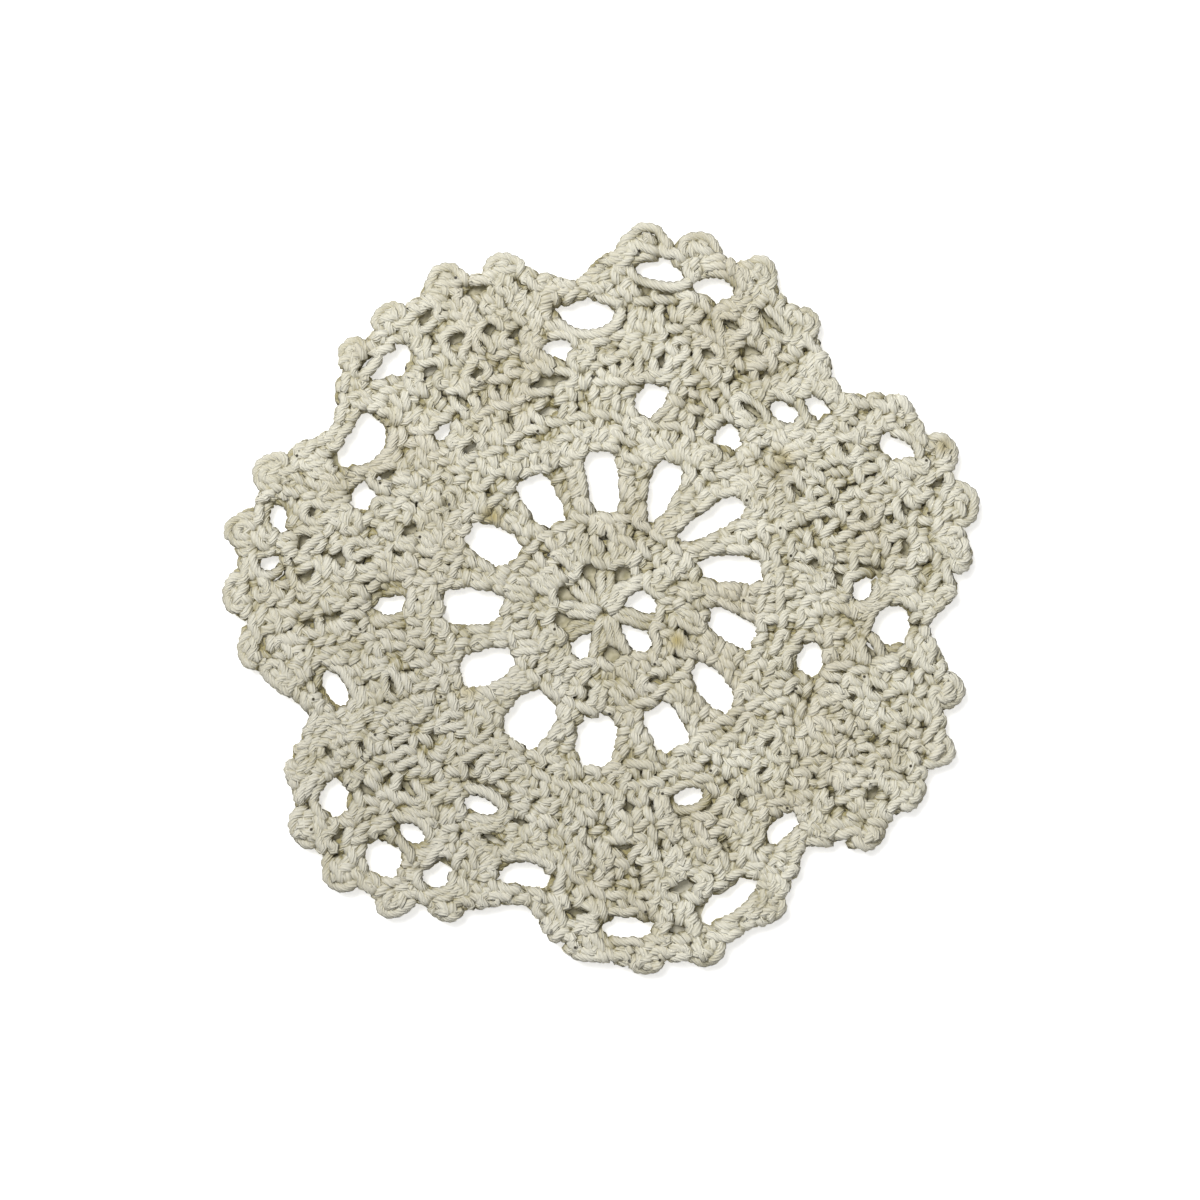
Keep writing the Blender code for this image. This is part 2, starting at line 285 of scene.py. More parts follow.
FAN_HOLLOWS = (
    Gap(8, 63.0, 5.0, 4.0, 20),
    Gap(20, 73.5, 4.0, 4.0, 0),
    Gap(34, 77.0, 6.0, 3.0, 0),
    Gap(68, 74.0, 5.0, 4.0, 0),
    Gap(77, 68.0, 3.5, 4.5, 0),
    Gap(108, 77.5, 6.0, 3.0, 20),
    Gap(124, 68.0, 3.5, 5.0, 0),
    Gap(148, 68.5, 7.0, 4.0, -30),
    Gap(168, 71.5, 5.5, 3.5, 0),
    Gap(209, 73.5, 4.0, 3.5, 0),
    Gap(222, 70.0, 7.0, 4.0, 0),
    Gap(275, 62.5, 7.0, 3.0, 0),
    Gap(341, 70.0, 3.5, 3.5, 0),
    Gap(344, 75.5, 3.0, 4.5, 0),
    Gap(352, 71.5, 6.0, 4.0, 30),
)
LOBE_HOLLOWS = (
    Gap(12, 82.0, 5.0, 3.5, 0),
    Gap(19, 84.5, 5.0, 3.5, 0),
    Gap(21, 95.0, 3.5, 6.0, 0),
    Gap(60, 89.0, 12.0, 3.5, -15),
    Gap(66, 83.5, 7.0, 4.0, 0),
    Gap(60, 80.0, 6.0, 3.0, 0),
    Gap(97, 81.0, 6.0, 3.0, 15),
    Gap(112, 81.0, 5.0, 4.5, 0),
    Gap(121, 91.5, 7.0, 4.0, 25),
    Gap(134, 91.5, 6.0, 3.0, 0),
    Gap(161, 82.0, 3.5, 3.5, 0),
    Gap(167, 82.5, 5.0, 3.5, 0),
    Gap(173, 79.0, 6.0, 4.0, -25),
    Gap(207, 82.0, 5.0, 3.0, 0),
    Gap(217, 78.5, 6.0, 3.5, 15),
    Gap(220, 92.0, 3.5, 6.0, 0),
    Gap(237, 79.0, 3.5, 4.0, 0),
    Gap(265, 80.0, 8.0, 3.0, 5),
    Gap(326, 86.0, 6.0, 3.5, 0),
    Gap(350, 82.5, 5.0, 3.0, 0),
)
HOLLOWS = DISC_HOLLOWS + INNER_HOLLOWS + FAN_HOLLOWS + LOBE_HOLLOWS


def narrowed(gap):
    """A gap that stays open, half closed by the strands beside it."""
    return gap._replace(along=gap.along * NARROWING, out=gap.out * NARROWING)


def slit(gap):
    """A hollow under a strand is long and narrow, so its narrow side is drawn in."""
    if gap.along < gap.out:
        return gap._replace(along=gap.along * SLIT_SHARE)
    return gap._replace(out=gap.out * SLIT_SHARE)


closed_gaps = [gap for gap in SMALL_GAPS if gap.deg in DARK_DEGS + PALE_DEGS]
clear_gaps = [gap for gap in SMALL_GAPS if gap not in closed_gaps]
clear_gaps = [narrowed(gap) if gap.deg in NARROW_DEGS else gap for gap in clear_gaps]
dark_eyes = [gap for gap in closed_gaps if gap in EYE_GAPS]
faint_hollows = [gap for gap in closed_gaps if gap not in EYE_GAPS] + list(HOLLOWS)
print(len(clear_gaps), "small gaps stay clear and", len(closed_gaps), "are closed")

# %% [markdown]
# Each gap is kept as a small convex outline, because a strand can then be pushed out of it by one
# simple measure: how far a point lies from the gap's middle, as a share of the way to its outline.
# The margin keeps the middle of a strand about half its thickness off a clear gap's edge, and less
# off a closed gap's or a hollow's.

# %% The gaps as convex outlines
GAP_MARGIN = HALF_YARN * 1.1
CLOSED_MARGIN = HALF_YARN * 0.85
HOLLOW_MARGIN = HALF_YARN * 0.55
GAP_CORNERS = 12
CORNER_CUT = 0.2
CORNER_REACH = 0.5


def polar(deg, radius):
    """A point in the mat's plane, measured from the first round's middle."""
    angle = np.radians(deg)
    return np.stack([np.cos(angle) * radius, np.sin(angle) * radius], axis=-1)


def spoke_gap_outline(gap):
    """The gap's four corners, moved out a little and then cut off."""
    corners = np.array(
        [
            polar(gap.inner_from, gap.inner),
            polar(gap.outer_from, gap.outer),
            polar(gap.outer_to, gap.outer),
            polar(gap.inner_to, gap.inner),
        ]
    )
    away = corners - corners.mean(axis=0)
    corners = corners + away / np.linalg.norm(away, axis=1)[:, None] * CORNER_REACH
    before = corners + (np.roll(corners, 1, axis=0) - corners) * CORNER_CUT
    after = corners + (np.roll(corners, -1, axis=0) - corners) * CORNER_CUT
    return np.stack([before, after], axis=1).reshape(-1, 2)


def small_gap_outline(gap):
    """An oval, turned by the gap's lean."""
    turn = math.tau * np.arange(GAP_CORNERS) / GAP_CORNERS
    along = polar(gap.deg + gap.lean + 90, gap.along / 2)
    out = polar(gap.deg + gap.lean, gap.out / 2)
    return polar(gap.deg, gap.radius) + np.outer(np.cos(turn), along) + np.outer(np.sin(turn), out)


class Opening:
    """A convex gap. reach() is 1 at the margin off its outline, less inside and more outside."""

    def __init__(self, outline, margin):
        self.margin = margin
        self.middle = outline.mean(axis=0)
        edge = np.roll(outline, -1, axis=0) - outline
        normal = np.stack([edge[:, 1], -edge[:, 0]], axis=1)
        normal /= np.linalg.norm(normal, axis=1)[:, None]
        height = ((outline - self.middle) * normal).sum(axis=1)
        self.normal = normal * np.sign(height)[:, None]
        self.height = np.abs(height)
        self.outline = outline

    def reach(self, points, margin):
        away = points - self.middle
        return (away @ self.normal.T / (self.height + margin)).max(axis=1)


spoke_openings = [Opening(spoke_gap_outline(gap), GAP_MARGIN) for gap in SPOKE_GAPS]
small_openings = [Opening(small_gap_outline(gap), GAP_MARGIN) for gap in clear_gaps]
openings = spoke_openings + small_openings
hollows = [Opening(small_gap_outline(gap), CLOSED_MARGIN) for gap in dark_eyes]
hollows += [Opening(small_gap_outline(slit(gap)), HOLLOW_MARGIN) for gap in faint_hollows]
print(len(openings), "openings and", len(hollows), "hollows")

# %% [markdown]
# One stitch. Worked with a hook, the yarn goes down behind the work, comes forward through a hole
# in the round below, goes up in front, over, and down again through the same hole. A tall stitch
# does that two or three times, one loop through the next, with a slanting wrap between. Last comes
# the flat V that makes the braided edge, and the next round is worked under it. A knot here is a
# point on that way: along the round in stitches, out in shares of the stitch's height, rise in
# millimetres more, and up in yarn thicknesses. Written once, it serves every stitch on the mat.

# %% The way through a stitch
Knot = namedtuple("Knot", "along out rise up")
TOP_V = (
    Knot(0.14, 1, -1.1, 0.35),
    Knot(0.45, 1, -1.2, 0.62),
    Knot(0.80, 1, -0.9, 0.52),
    Knot(1.08, 1, 0.1, 0.25),
    Knot(0.86, 1, 1.3, 0.28),
    Knot(0.60, 1, 1.2, -0.10),
)
CHAIN_LINK = (Knot(0.20, 1, 0.2, -0.55), Knot(-0.05, 1, -0.4, -0.30)) + TOP_V


def stitch_knots(loops):
    """The knots of a stitch of one, two or three loops, up to where its V begins."""
    levels = [i / loops for i in range(loops + 1)]
    knots = [Knot(-0.45, 1, 0.2, -0.45)]
    for level in reversed(levels[1:-1]):
        knots += [
            Knot(-0.40, level, 1.2, -0.10),
            Knot(-0.08, level, 0.4, 0.50),
            Knot(0.28, level, -0.6, 0.20),
            Knot(0.22, level, -1.5, -0.45),
        ]
    knots += [Knot(-0.14, 0, 0.6, -0.50), Knot(-0.08, 0, -0.9, -0.12)]
    for low, high in zip(levels, levels[1:]):
        tall = high - low
        knots += [
            Knot(-0.14, low, -0.2, 0.18),
            Knot(-0.24, low + tall * 0.30, 0, 0.36),
            Knot(-0.32, low + tall * 0.66, 0, 0.34),
            Knot(-0.22, high, -0.6, 0.02),
            Knot(0.0, high, 0.1, -0.10),
            Knot(0.22, high, -0.6, 0.02),
            Knot(0.32, low + tall * 0.66, 0, 0.34),
            Knot(0.24, low + tall * 0.30, 0, 0.36),
            Knot(0.14, low, -0.2, 0.18),
            Knot(0.08, low, -0.9 if low == 0 else -0.2, -0.15),
            Knot(0.12, low + tall * 0.30, 0, -0.55),
            Knot(0.08, low + tall * 0.70, 0, -0.55),
            Knot(0.0, high, -0.8, -0.18),
        ]
    return knots


STITCHES = {loops: stitch_knots(loops) for loops in (1, 2, 3)}
print("knots in each stitch:", {loops: len(knots) + len(TOP_V) for loops, knots in STITCHES.items()})

# %% [markdown]
# Laying the stitches out. Each round is a ring of anchors, the tops of its stitches. A stitch
# stands on the nearest anchor of the round below, so where a round has more stitches than the one
# below, two of them share a hole and fan out, as in the real work. Where a post would stand in a
# gap it is left out, and only the chain runs on. The outer rounds swing in and out with the lobes:
# follow is the share of that swing that a round takes. Bury says how deep its braided top lies under
# the posts of the next round, which is what makes one round stand out and another sink.

# %% The rounds' measures
Course = namedtuple("Course", "piece loops stitches top follow start_deg bury")
COURSES = (
    Course("disc", 1, 24, 20.6, 0.0, 3, 0.5),
    Course("disc", 1, 30, 27.2, 0.0, 0, 0.3),
    Course("spokes", 3, 52, 42.6, 0.0, 0, 0.3),
    Course("spokes", 1, 50, 47.8, 0.0, 0, 0.2),
    Course("inner", 1, 54, 53.2, 0.05, 1, 0.4),
    Course("inner", 2, 62, 62.0, 0.3, 2, 0.45),
    Course("fans", 1, 66, 67.6, 0.45, 3, 0.5),
    Course("fans", 2, 72, 75.0, 0.7, 0, 0.4),
    Course("lobes", 1, 76, 80.4, 0.85, 1, 0.5),
    Course("lobes", 2, 76, 87.6, 0.95, 2, 0.4),
)
SPOKES_COURSE = 2
UNEVEN_DEG, UNEVEN_OUT, UNEVEN_UP = 0.16, 0.5, 0.20
LOOSER = 0.7
FOOT_SHARE = 0.9
IN_GAP_SHARES = (0.3, 0.5, 0.7)
IN_GAP_MARGIN = 0.2
Anchor = namedtuple("Anchor", "deg top base loops width_base")


def swung(deg, radius, follow):
    """The radius of a round where the lobes pull it out or in."""
    return radius + follow * (all_round(deg, RIM) - RIM_MEAN)


def stands_in_gap(base, top):
    points = base + (top - base) * np.array(IN_GAP_SHARES)[:, None]
    return any(gap.reach(points, IN_GAP_MARGIN).min() < 1 for gap in small_openings)


def nearest(anchors, deg):
    away = [turn_between(anchor.deg, deg) for anchor in anchors]
    return anchors[int(np.argmin(away))]


print("the rounds reach from", COURSES[0].top, "to", COURSES[-1].top, "mm")

# %% [markdown]
# The middle. The hook works eight tall posts into a ring of yarn, with a chain over each eye
# between them, and the next round fans three stitches out of every chain. The posts could be spread
# evenly, but in the photo they aren't, so both rounds follow the angles of the eyes.

# %% The first two rounds
FIRST_FOOT, FIRST_TOP, FIRST_CHAIN = 1.9, 13.4, 15.0
FIRST_FOOT_WIDTH = 1.4
FAN_STITCHES = 3
FAN_FOOT, FAN_FOOT_WIDTH = 13.8, 3.0
FAN_STEP_DEG = 9


def first_round():
    """Eight tall posts from the middle, with a chain over each eye."""
    anchors = []
    for i, eye in enumerate(EYE_GAPS):
        following = EYE_GAPS[(i + 1) % len(EYE_GAPS)].deg
        post = eye.deg + ((following - eye.deg) % 360) / 2
        top, base = polar(post, FIRST_TOP), polar(post, FIRST_FOOT)
        anchors.append(Anchor(eye.deg, polar(eye.deg, FIRST_CHAIN), None, 0, 0))
        anchors.append(Anchor(post % 360, top, base, 1, FIRST_FOOT_WIDTH))
    return anchors


def over_each_eye(below):
    """The second round: three tall stitches fan out from each eye's chain."""
    course = COURSES[0]
    eyes = [anchor for anchor in below if anchor.loops == 0]
    anchors = []
    for i in range(course.stitches):
        eye = eyes[i // FAN_STITCHES]
        turn = i % FAN_STITCHES - 1
        span = (eyes[(i // FAN_STITCHES + 1) % len(eyes)].deg - eye.deg) % 360
        deg = eye.deg + span * turn / FAN_STITCHES
        base = polar(eye.deg + turn * FAN_STEP_DEG, FAN_FOOT)
        top = polar(deg, course.top + chance.normal() * UNEVEN_OUT)
        anchors.append(Anchor(deg % 360, top, base, course.loops, FAN_FOOT_WIDTH))
    return anchors


rounds = [("disc", first_round())]
rounds.append(("disc", over_each_eye(rounds[0][1])))
print("the first two rounds have", [len(anchors) for _, anchors in rounds], "anchors")

# %% [markdown]
# The spokes, and the rounds outside them. Two tall posts stand side by side on each spoke, and over
# each long gap run two links of chain, so this round is laid out by the gaps' own table. Every
# other round is plain: its stitches are spread evenly, give or take a little, and each finds its
# own foot in the round below.

# %% The spokes and the plain rounds
OVER_GAP = 0.6
CHAIN_SHARES = (0.3, 0.75)
SPOKE_SHARES = (0.27, 0.73)
SPOKE_FOOT_SHARE = 0.34


def spoke_round(course):
    """Two posts on each spoke and two chain links over each gap."""
    anchors = []
    for gap, following in zip(SPOKE_GAPS, SPOKE_GAPS[1:] + SPOKE_GAPS[:1]):
        for share in CHAIN_SHARES:
            deg = gap.outer_from + (gap.outer_to - gap.outer_from) * share
            top = polar(deg, gap.outer + HALF_YARN + OVER_GAP)
            anchors.append(Anchor(deg % 360, top, None, 0, 0))
        base_span = (following.inner_from - gap.inner_to) % 360
        top_span = (following.outer_from - gap.outer_to) % 360
        for share in SPOKE_SHARES:
            base_deg = gap.inner_to + base_span * share
            deg = gap.outer_to + top_span * share
            base = polar(base_deg, COURSES[SPOKES_COURSE - 1].top)
            width = math.radians(base_span) * course.top * SPOKE_FOOT_SHARE
            anchors.append(Anchor(deg % 360, polar(deg, course.top), base, course.loops, width))
    return anchors


def standing(deg, top, below, loops, stitches):
    """A stitch on the nearest anchor below, or only the chain's place where a gap is."""
    base = nearest(below, deg).top
    loops = 0 if stands_in_gap(base, top) else loops
    pitch = math.tau * np.linalg.norm(base) / stitches
    return Anchor(deg % 360, top, base, loops, pitch * FOOT_SHARE)


def plain_round(course, below):
    """Stitches at even turns, give or take a little."""
    anchors = []
    for i in range(course.stitches):
        deg = course.start_deg + 360 * (i + chance.uniform(-1, 1) * UNEVEN_DEG) / course.stitches
        uneven = chance.normal() * UNEVEN_OUT * (1 + course.follow * LOOSER)
        top = polar(deg, swung(deg, course.top, course.follow) + uneven)
        anchors.append(standing(deg, top, below, course.loops, course.stitches))
    return anchors


for number, course in enumerate(COURSES[1:], start=1):
    below = rounds[-1][1]
    made = spoke_round(course) if number == SPOKES_COURSE else plain_round(course, below)
    rounds.append((course.piece, made))
print(len(rounds), "rounds with", sum(len(anchors) for _, anchors in rounds), "anchors")

# %% [markdown]
# The edging is the last round. Short stitches stand on the lobes, and between them the chain is
# looped into a small ring, a picot. Here it is one arc inside another, each with its way back
# below, and a wrap over the foot of both. The arcs are in shares of the picot's width and height.
# The other knots are along in half widths, out in millimetres, and up in yarn thicknesses.

# %% The edging and its picots
EDGE_STITCHES = 80
EDGE_IN = 2.2
PicotArc = namedtuple("PicotArc", "wide tall up")
PICOT_ARCS = (PicotArc(0.92, 1.0, 0.3), PicotArc(0.32, 0.6, 0.5))
ARC_KNOTS, ARC_OVERRUN = 6, 0.1
PicotKnot = namedtuple("PicotKnot", "along out up")
PICOT_BACK = (PicotKnot(0.4, -0.5, -0.5), PicotKnot(-0.5, -0.5, -0.5))
PICOT_WRAP = (
    PicotKnot(-0.8, 0.4, 0.1),
    PicotKnot(0.0, 1.2, 0.6),
    PicotKnot(0.8, 1.6, 0.2),
    PicotKnot(0.9, 0.0, -0.3),
)
PICOT_HAND = 0.6


def edging(below):
    anchors = []
    for i in range(EDGE_STITCHES):
        deg = 360 * (i + chance.uniform(-1, 1) * UNEVEN_DEG) / EDGE_STITCHES
        top = polar(deg, all_round(deg, RIM) - EDGE_IN)
        anchors.append(standing(deg, top, below, 1, EDGE_STITCHES))
    return anchors


def picot_knots(picot):
    foot = all_round(picot.deg, RIM) - EDGE_IN
    tip = picot.tip - HALF_YARN
    half_width = math.radians(picot.width_deg) * picot.tip / 2 - HALF_YARN
    outwards, forwards = polar(picot.deg, 1), polar(picot.deg + 90, 1)

    def at(knot):
        return outwards * (foot + knot.out) + forwards * half_width * knot.along, knot.up

    knots = []
    for arc in PICOT_ARCS:
        for turn in np.linspace(-ARC_OVERRUN, math.pi + ARC_OVERRUN, ARC_KNOTS):
            along = -half_width * arc.wide * math.cos(turn) + chance.normal() * PICOT_HAND
            out = foot + (tip - foot) * arc.tall * math.sin(turn) + chance.normal() * PICOT_HAND
            knots.append((outwards * out + forwards * along, arc.up))
        knots += [at(knot) for knot in PICOT_BACK]
    knots += [at(knot) for knot in PICOT_WRAP]
    return [(spot[0], spot[1], up * YARN) for spot, up in knots]


rounds.append(("edging", edging(rounds[-1][1])))
print("the edging has", EDGE_STITCHES, "stitches and", len(PICOTS), "picots")

# %% [markdown]
# Now the knots are put in place. A knot low on a stitch is measured from the stitch's own line, and
# the V on top from one stitch's top to the next, so that neighbours always meet. No hand works
# evenly, so each knot is a little off its place, more so in the looser outer rounds.

# %% From a stitch's knots to places on the mat
HAND = 0.34
PRESSED_DOWN, PUSHED_UP = 0.55, 0.35
FOOT_PART = 0.35


def side_of(direction):
    """The way to the left of outwards, which is forwards round the mat."""
    return np.array([-direction[1], direction[0]])


def place_post(route, anchor, pitch, bury, hand):
    """The loops of one stitch. Its foot comes forward over a buried top below."""
    axis = anchor.top - anchor.base
    height = np.linalg.norm(axis)
    outwards = axis / height
    forwards = side_of(outwards)
    lift = chance.normal() * UNEVEN_UP
    for knot in STITCHES[anchor.loops]:
        width = anchor.width_base + (pitch - anchor.width_base) * knot.out
        spot = anchor.base + outwards * (knot.out * height + knot.rise)
        spot = spot + forwards * knot.along * width + chance.normal(size=2) * hand
        up = knot.up + (bury * PUSHED_UP if knot.out < FOOT_PART and knot.up > 0 else 0)
        route.append((spot[0], spot[1], (up + lift) * YARN))


def place_links(route, start, end, links, first_is_v, bury, hand):
    """Chain links in a row from start to end. The first may be the V of the stitch at start."""
    step = (end - start) / links
    outwards = -side_of(step / np.linalg.norm(step))
    for i in range(links):
        shape = TOP_V if i == 0 and first_is_v else CHAIN_LINK
        for knot in shape:
            spot = start + step * (i + knot.along) + outwards * knot.rise
            spot = spot + chance.normal(size=2) * hand
            route.append((spot[0], spot[1], (knot.up - bury * PRESSED_DOWN) * YARN))


print("a hand is", HAND, "mm off in the middle and", round(HAND * (1 + LOOSER), 2), "mm at the rim")

# %% [markdown]
# Round after round is worked without a break, so a piece's rounds join into one long yarn. The
# first round and the edging have no row in the table of rounds and take their neighbour's.

# %% One long yarn for each piece of the mat
LINK_LENGTH = 6.0
WIDEST_STITCH = 6.5
routes = {}
for number, (piece, anchors) in enumerate(rounds):
    route = routes.setdefault(piece, [])
    last = number == len(rounds) - 1
    course = COURSES[min(max(number - 1, 0), len(COURSES) - 1)]
    hand = HAND * (1 + course.follow * LOOSER)
    below_bury = COURSES[number - 2].bury if number > 1 else 0
    own_bury = 0 if last else course.bury
    for i, anchor in enumerate(anchors):
        following = anchors[(i + 1) % len(anchors)]
        pitch = np.linalg.norm(following.top - anchor.top)
        if anchor.loops:
            place_post(route, anchor, min(pitch, WIDEST_STITCH), below_bury, hand)
        start, first_is_v = anchor.top, anchor.loops > 0
        if last:
            span = (following.deg - anchor.deg) % 360
            for picot in PICOTS:
                if (picot.deg - anchor.deg) % 360 < span:
                    route += picot_knots(picot)
                    start, first_is_v = np.array(route[-1][:2]), False
        links = max(1, round(np.linalg.norm(following.top - start) / LINK_LENGTH))
        bury = own_bury if first_is_v else 0
        place_links(route, start, following.top, links, first_is_v, bury, hand)
print("knots:", {piece: len(route) for piece, route in routes.items()})

# %% [markdown]
# The yarn can't turn a corner, so a smooth curve is drawn through the knots, with a point at every
# step. Then the gaps are opened: everything near a gap is moved straight away from its middle, the
# nearer the more, so the strands close round it like a ring.

# %% A smooth yarn, and the gaps opened in it
COARSE_STEP = 1.0
SHORTEST, AT_MIDDLE = 1e-3, 1e-6
SPOKE_SPREAD, SMALL_SPREAD = 1.2, 1.8


def smooth_through(knots, step):
    """A curve through the knots by cubic Hermite spans, sampled at even steps."""
    knots = np.asarray(knots, float)
    length = np.maximum(np.linalg.norm(np.diff(knots, axis=0), axis=1), SHORTEST)
    at = np.concatenate([[0], np.cumsum(length)])
    slope = np.gradient(knots, at, axis=0)
    sample = np.linspace(0, at[-1], int(at[-1] / step) + 1)
    span = np.clip(np.searchsorted(at, sample, side="right") - 1, 0, len(length) - 1)
    wide = length[span][:, None]
    share = ((sample - at[span]) / length[span])[:, None]
    a, b = knots[span], knots[span + 1]
    ta, tb = slope[span] * wide, slope[span + 1] * wide
    s2, s3 = share**2, share**3
    curve = a * (2 * s3 - 3 * s2 + 1) + ta * (s3 - 2 * s2 + share) + b * (3 * s2 - 2 * s3)
    return curve + tb * (s3 - s2)


def even_steps(points, step):
    """The same curve with its points at even distances."""
    length = np.linalg.norm(np.diff(points, axis=0), axis=1)
    at = np.concatenate([[0], np.cumsum(length)])
    sample = np.linspace(0, at[-1], int(at[-1] / step) + 1)
    return np.stack([np.interp(sample, at, points[:, i]) for i in range(3)], axis=1)


def opened(points, gap, spread):
    """Moves the points near this gap straight away from its middle."""
    reach = gap.reach(points[:, :2], gap.margin)
    near = (reach < spread) & (reach > AT_MIDDLE)
    wanted = 1 + (spread - 1) * reach[near] / spread
    away = points[near, :2] - gap.middle
    points[near, :2] = gap.middle + away * (wanted / reach[near])[:, None]


strands = {}
for piece, route in routes.items():
    points = smooth_through(route, COARSE_STEP / 2)
    for gap in spoke_openings:
        opened(points, gap, SPOKE_SPREAD)
    for gap in small_openings:
        opened(points, gap, SMALL_SPREAD)
    strands[piece] = even_steps(points, COARSE_STEP)
print("yarn:", round(sum(len(points) for points in strands.values()) * COARSE_STEP / 1000, 1), "m")

# %% [markdown]
# Settling. So far the strands run through each other. Real yarn can't, so every point is pushed off
# the strands it touches, out of the gaps and hollows and back inside the outline, between the table
# and the mat's upper side, while each strand keeps its length, stays smooth and is drawn back
# towards its own place. A few dozen small rounds of this, worked on all the points at once, bed the
# stitches into each other. The strands round a gap stop at uneven distances from it, set by the
# slack, so its edge isn't a drawn line.

# %% Find the points that may touch
STRAND_GAP = YARN * 0.70
PAIR_REACH = STRAND_GAP * 1.25
NEIGHBOURS_APART = 5


def close_pairs(points, owner, distance):
    """Pairs of points nearer than distance in plan, found cell by cell."""
    cell = np.floor(points[:, :2] / distance).astype(np.int64)
    cell -= cell.min(axis=0)
    wide = cell[:, 1].max() + 3
    key = (cell[:, 0] + 1) * wide + cell[:, 1] + 1
    order = np.argsort(key, kind="stable")
    ordered = key[order]
    first, second = [], []
    for shift in (0, 1, wide - 1, wide, wide + 1):
        low = np.searchsorted(ordered, ordered + shift, side="left")
        high = np.searchsorted(ordered, ordered + shift, side="right")
        if shift == 0:
            low = np.arange(len(ordered)) + 1
        many = np.maximum(high - low, 0)
        a = np.repeat(np.arange(len(ordered)), many)
        offset = np.arange(many.sum()) - np.repeat(np.cumsum(many) - many, many)
        b = np.repeat(low, many) + offset
        first.append(order[a])
        second.append(order[b])
    first, second = np.concatenate(first), np.concatenate(second)
    apart = (np.abs(first - second) >= NEIGHBOURS_APART) | (owner[first] != owner[second])
    return first[apart], second[apart]


print("strands touch at", round(STRAND_GAP, 2), "mm between their middles")

# %% [markdown]
# The moves. A cloth or rope simulation could do this, but it would take minutes, and small moves
# worked on whole arrays take seconds. Each is simple: push touching points apart, pull a strand
# back to its length, move points out of a gap, and keep everything inside the mat.

# %% The moves of one round of settling
PUSH, STRETCH, STRAIGHTEN = 1.2, 0.3, 0.07


def push_apart(points, first, second):
    """Moves touching points half their overlap away from each other."""
    away = points[second] - points[first]
    distance = np.linalg.norm(away, axis=1)
    touch = distance < STRAND_GAP
    a, b = first[touch], second[touch]
    away, distance = away[touch], np.maximum(distance[touch], SHORTEST)
    push = away / distance[:, None] * (STRAND_GAP - distance)[:, None] * 0.5
    count = len(points)
    hits = np.bincount(a, minlength=count) + np.bincount(b, minlength=count)
    for axis in range(3):
        moved = np.bincount(b, push[:, axis], count) - np.bincount(a, push[:, axis], count)
        points[:, axis] += moved / np.maximum(hits, 1) * PUSH


def hold_strand(points, link, inner):
    """Pulls each strand back to its length, and a little straighter."""
    step = points[link + 1] - points[link]
    long = np.maximum(np.linalg.norm(step, axis=1), SHORTEST)
    pull = step / long[:, None] * (long - COARSE_STEP)[:, None] * STRETCH
    points[link] += pull
    points[link + 1] -= pull
    middle = (points[inner - 1] + points[inner + 1]) / 2
    points[inner] += (middle - points[inner]) * STRAIGHTEN


def clear_opening(points, gap, near, slack):
    """Moves the points inside this opening straight out to its uneven edge."""
    reach = gap.reach(points[near, :2], gap.margin)
    wanted = slack[near]
    inside = (reach < wanted) & (reach > AT_MIDDLE)
    which = near[inside]
    out = points[which, :2] - gap.middle
    points[which, :2] += out * (wanted[inside] / reach[inside] - 1)[:, None]


def keep_within(points):
    """Keeps the yarn inside the outline, on the table and under the mat's upper side."""
    radius = np.linalg.norm(points[:, :2], axis=1)
    deg = np.degrees(np.arctan2(points[:, 1], points[:, 0])) % 360
    most = all_round(deg, OUTLINE) - HALF_YARN
    points[:, :2] *= np.minimum(1, most / np.maximum(radius, SHORTEST))[:, None]
    points[:, 2] = np.clip(points[:, 2], MAT_MIDDLE - HALF_LIFT, MAT_MIDDLE + HALF_LIFT)


print("strands stay between", MAT_MIDDLE - HALF_LIFT, "and", MAT_MIDDLE + HALF_LIFT, "mm high")

# %% [markdown]
# All the yarn settles together, so that one piece's strands bed into the next one's. The pairs that
# may touch are looked for again every few rounds only, because points move little and the search is
# the slow part.

# %% Settle the yarn
SETTLE_ROUNDS = 45
PAIRS_EVERY = 5
HOMING = np.array([0.05, 0.05, 0.07])
NEAR = 2.6
SLACK, SLACK_EVERY = (0.92, 1.06), 8


def settle(points, owner):
    home = points.copy()
    link = np.nonzero(owner[1:] == owner[:-1])[0]
    inner = link[1:][np.diff(link) == 1]
    everything = openings + hollows
    near = [np.nonzero(gap.reach(home[:, :2], GAP_MARGIN) < NEAR)[0] for gap in everything]
    marks = np.arange(0, len(points) + SLACK_EVERY, SLACK_EVERY)
    slack = np.interp(np.arange(len(points)), marks, chance.uniform(*SLACK, len(marks)))
    for turn in range(SETTLE_ROUNDS):
        if turn % PAIRS_EVERY == 0:
            first, second = close_pairs(points, owner, PAIR_REACH)
        push_apart(points, first, second)
        hold_strand(points, link, inner)
        points += (home - points) * HOMING
        for gap, near_gap in zip(everything, near):
            clear_opening(points, gap, near_gap, slack)
        keep_within(points)
    return points


names = list(strands)
owner = np.concatenate([np.full(len(strands[name]), i) for i, name in enumerate(names)])
together = np.concatenate([strands[name] for name in names])
together[:, 2] += MAT_MIDDLE
together = settle(together, owner)
for i, name in enumerate(names):
    strands[name] = together[owner == i]
print("settled", len(together), "points")

# %% [markdown]
# The yarn's body. Cotton of this kind is five plies twisted together, and the light catches every
# ply. A curve can carry any outline along its length, and each point may be tilted. So the outline
# has five lobes, and the tilt grows steadily along the strand: that is the twist. Yarn is never
# quite even, so its thickness swings a little, and it swells where it lies free on top.

# %% The outline of five plies
PLIES = 5
PLY_RADII = (0.80, 1.02)
AROUND = PLIES * len(PLY_RADII)


def placed(name, data):
    """A new object in the scene."""
    made = bpy.data.objects.new(name, data)
    bpy.context.scene.collection.objects.link(made)
    return made


